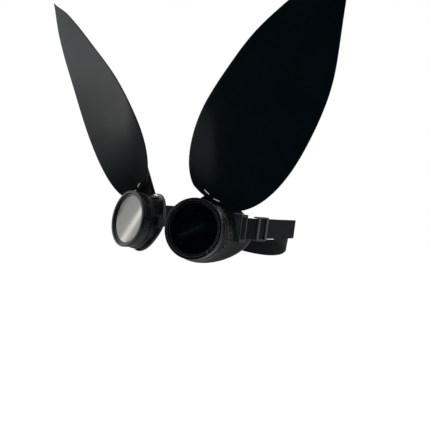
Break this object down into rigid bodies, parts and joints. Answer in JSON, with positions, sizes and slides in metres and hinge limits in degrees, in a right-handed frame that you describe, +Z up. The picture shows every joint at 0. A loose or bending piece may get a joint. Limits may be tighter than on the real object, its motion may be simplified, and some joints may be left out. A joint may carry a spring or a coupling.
{
  "type": "goggles",
  "caption": "Round screw-ring goggles on an elastic strap, with flared eye cups and a tall leaf-shaped ear riveted on each cup.",
  "frame": {"origin": "middle of the nose link's rear face, where the goggles rest on the nose", "axes": "+X to the wearer's left, +Y towards the wearer's face and the back of the head, +Z up"},
  "size_m": [0.3616, 0.2349, 0.2613],
  "materials": {
    "ring_plastic": "gloss",
    "cup_plastic": "semi-gloss",
    "lens_glass": "polished, dark green-black tint",
    "rubber": "matte",
    "soft_edge": "satin",
    "ear_sheet": "satin leather-look sheet",
    "bracket_metal": "black paint",
    "bright_steel": "bright",
    "webbing": "woven elastic",
    "slide_plastic": "satin"
  },
  "bodies": {
    "bridge": {"nose_link": "rubber", "left_bridge_pin": "bright_steel", "right_bridge_pin": "bright_steel", "head_strap": "webbing"},
    "left_cup": {"left_eye_cup": "cup_plastic", "left_rim_seal": "soft_edge", "left_ear": "ear_sheet", "left_ear_bracket": "bracket_metal", "left_ear_staples": "bright_steel", "left_ear_rivets": "bright_steel", "left_strap_end": "webbing"},
    "left_lens_unit": {"left_lens": "lens_glass", "left_lens_gasket": "rubber"},
    "left_ring": {"left_lens_ring": "ring_plastic"},
    "left_slide": {"left_strap_slide": "slide_plastic"},
    "right_cup": {"right_eye_cup": "cup_plastic", "right_rim_seal": "soft_edge", "right_ear": "ear_sheet", "right_ear_bracket": "bracket_metal", "right_ear_staples": "bright_steel", "right_ear_rivets": "bright_steel", "right_strap_end": "webbing"},
    "right_lens_unit": {"right_lens": "lens_glass", "right_lens_gasket": "rubber"},
    "right_ring": {"right_lens_ring": "ring_plastic"},
    "right_slide": {"right_strap_slide": "slide_plastic"}
  },
  "joints": [
    {"name": "left_cup_swing", "type": "hinge", "parent": "bridge", "child": "left_cup", "pos_m": [0.00646, -0.0012, 0], "axis": [0, 0, 1], "range_deg": [-6, 6], "deforming": ["head_strap"]},
    {"name": "left_ring_travel", "type": "slide", "parent": "left_cup", "child": "left_lens_unit", "axis": [0.2351, -0.972, 0], "range_m": [0, 0.0046]},
    {"name": "left_ring_turn", "type": "hinge", "parent": "left_lens_unit", "child": "left_ring", "pos_m": [0.04275, -0.013, -0.00175], "axis": [0.2351, -0.972, 0], "range_deg": [0, 1080]},
    {"name": "left_slide_travel", "type": "slide", "parent": "left_cup", "child": "left_slide", "axis": [0.002, 0.9919, 0.1269], "range_m": [0, 0.015]},
    {"name": "right_cup_swing", "type": "hinge", "parent": "bridge", "child": "right_cup", "pos_m": [-0.00646, -0.0012, 0], "axis": [0, 0, 1], "range_deg": [-6, 6], "deforming": ["head_strap"]},
    {"name": "right_ring_travel", "type": "slide", "parent": "right_cup", "child": "right_lens_unit", "axis": [-0.2351, -0.972, 0], "range_m": [0, 0.0046]},
    {"name": "right_ring_turn", "type": "hinge", "parent": "right_lens_unit", "child": "right_ring", "pos_m": [-0.04275, -0.013, -0.00175], "axis": [-0.2351, -0.972, 0], "range_deg": [0, 1080]},
    {"name": "right_slide_travel", "type": "slide", "parent": "right_cup", "child": "right_slide", "axis": [-0.002, 0.9919, 0.1269], "range_m": [0, 0.015]}
  ],
  "couplings": [
    {"joint": "left_ring_travel", "follows": "left_ring_turn", "m_per_rad": 0.00023873},
    {"joint": "right_ring_travel", "follows": "right_ring_turn", "m_per_rad": 0.00023873}
  ]
}
